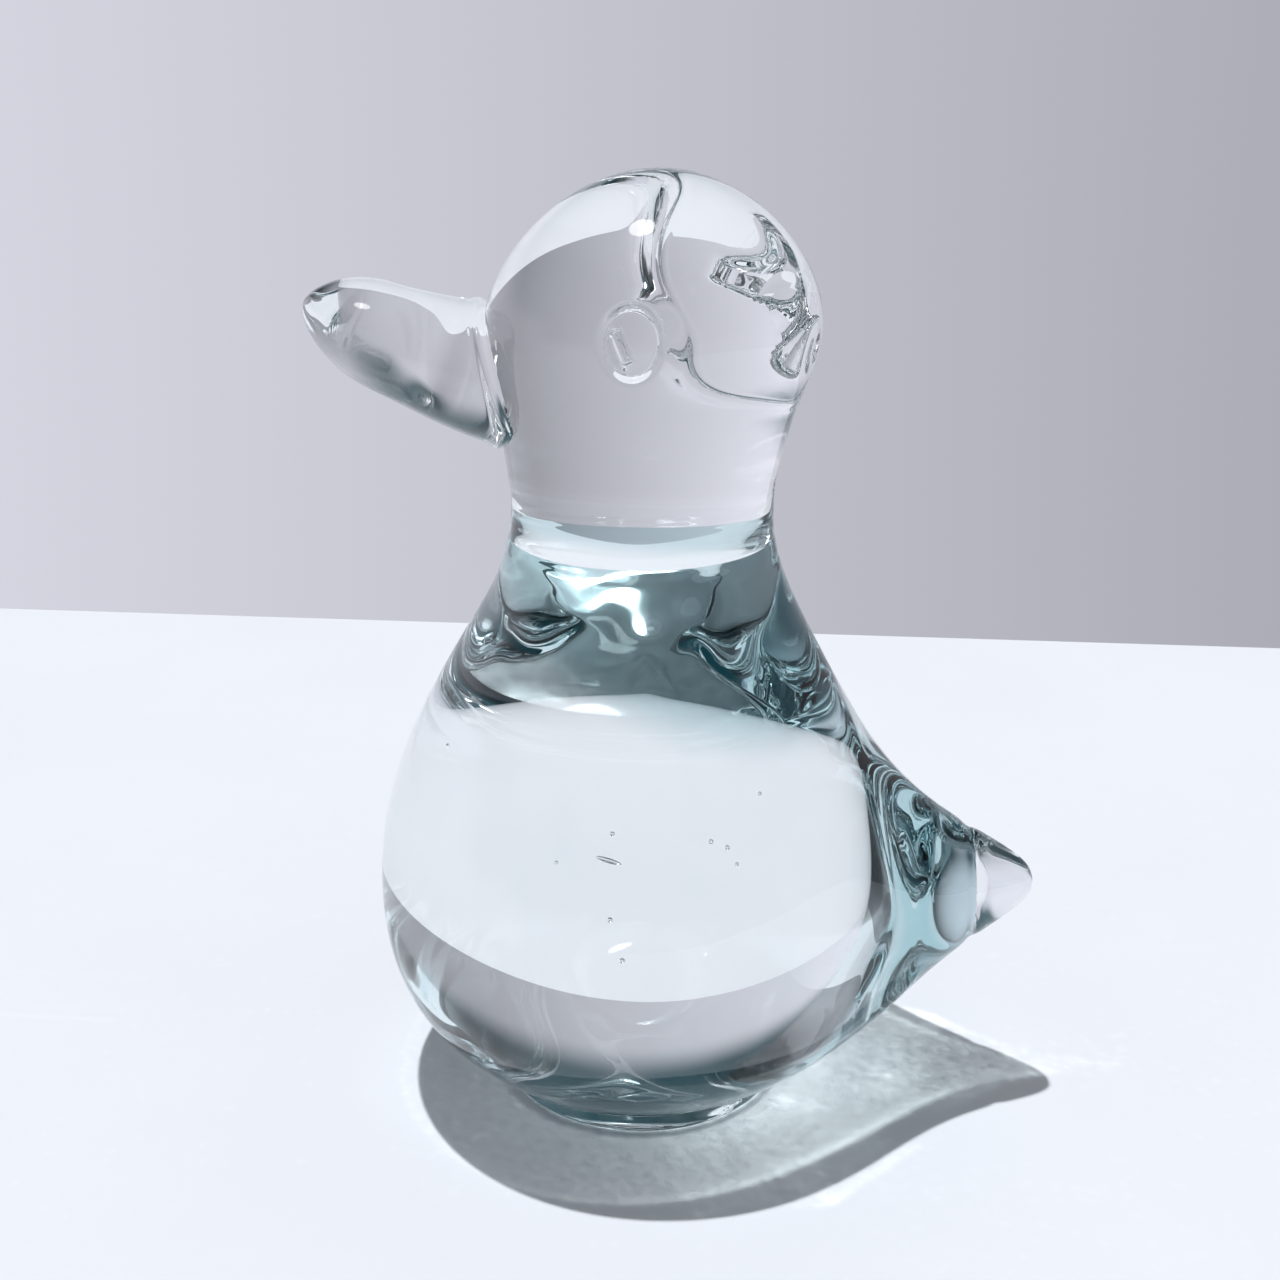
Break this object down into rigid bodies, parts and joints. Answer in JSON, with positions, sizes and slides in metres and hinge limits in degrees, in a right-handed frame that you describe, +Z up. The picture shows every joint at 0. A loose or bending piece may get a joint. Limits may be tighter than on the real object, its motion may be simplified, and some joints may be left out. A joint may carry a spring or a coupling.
{
  "type": "glass duck figurine",
  "caption": "Solid clear glass duck with a pear-shaped body, ball head, stuck-on bill, drawn-out tail and pressed eyes, standing on a ground flat foot.",
  "frame": {"origin": "centre of the ground flat under the foot", "axes": "+Z up through the head, -Y the way the bill points, +X the duck's left side"},
  "size_m": [0.0718, 0.0956, 0.125],
  "materials": {
    "tinted_glass": "fire-polished, faint aqua",
    "clear_glass": "fire-polished, clear"
  },
  "bodies": {
    "root": {"foot": "tinted_glass", "body": "tinted_glass", "tail": "clear_glass", "head": "clear_glass", "bill": "clear_glass", "left_eye": "clear_glass", "right_eye": "clear_glass"}
  },
  "joints": []
}
